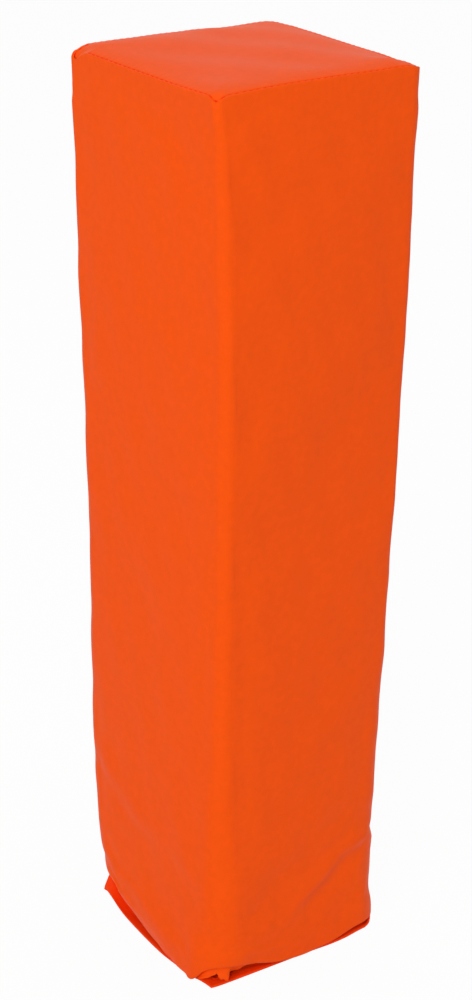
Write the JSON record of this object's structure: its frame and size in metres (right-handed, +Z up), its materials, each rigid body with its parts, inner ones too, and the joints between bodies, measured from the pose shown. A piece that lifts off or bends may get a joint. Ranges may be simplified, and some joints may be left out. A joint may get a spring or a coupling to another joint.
{
  "type": "football field pylon",
  "caption": "Soft square football field pylon: foam and a sand ballast bag in a sewn orange cover with a closure flap under its base.",
  "frame": {"origin": "middle of the base, on the floor", "axes": "+Z up along the pylon's height; -Y towards the side with the folds low on its right; the closure flap folds at the +X side"},
  "size_m": [0.114, 0.1142, 0.4572],
  "materials": {
    "coated_fabric": "satin",
    "loop_tape": "matte",
    "hook_tape": "matte",
    "foam": "matte",
    "ballast_canvas": "matte",
    "sand": "matte"
  },
  "bodies": {
    "marker": {"side_cover": "coated_fabric", "top_panel": "coated_fabric", "loop_tape_front": "loop_tape", "loop_tape_left": "loop_tape", "loop_tape_back": "loop_tape", "foam_core": "foam", "ballast_bag_upper": "ballast_canvas", "ballast_bag_lower": "ballast_canvas", "sand_fill": "sand"},
    "flap": {"closure_flap": "coated_fabric", "hook_tape_front": "hook_tape", "hook_tape_left": "hook_tape", "hook_tape_back": "hook_tape"}
  },
  "joints": [
    {"name": "flap_fold", "type": "hinge", "parent": "marker", "child": "flap", "pos_m": [0.05505, 0, 0.00035], "axis": [0, -1, 0], "range_deg": [0, 260]}
  ]
}
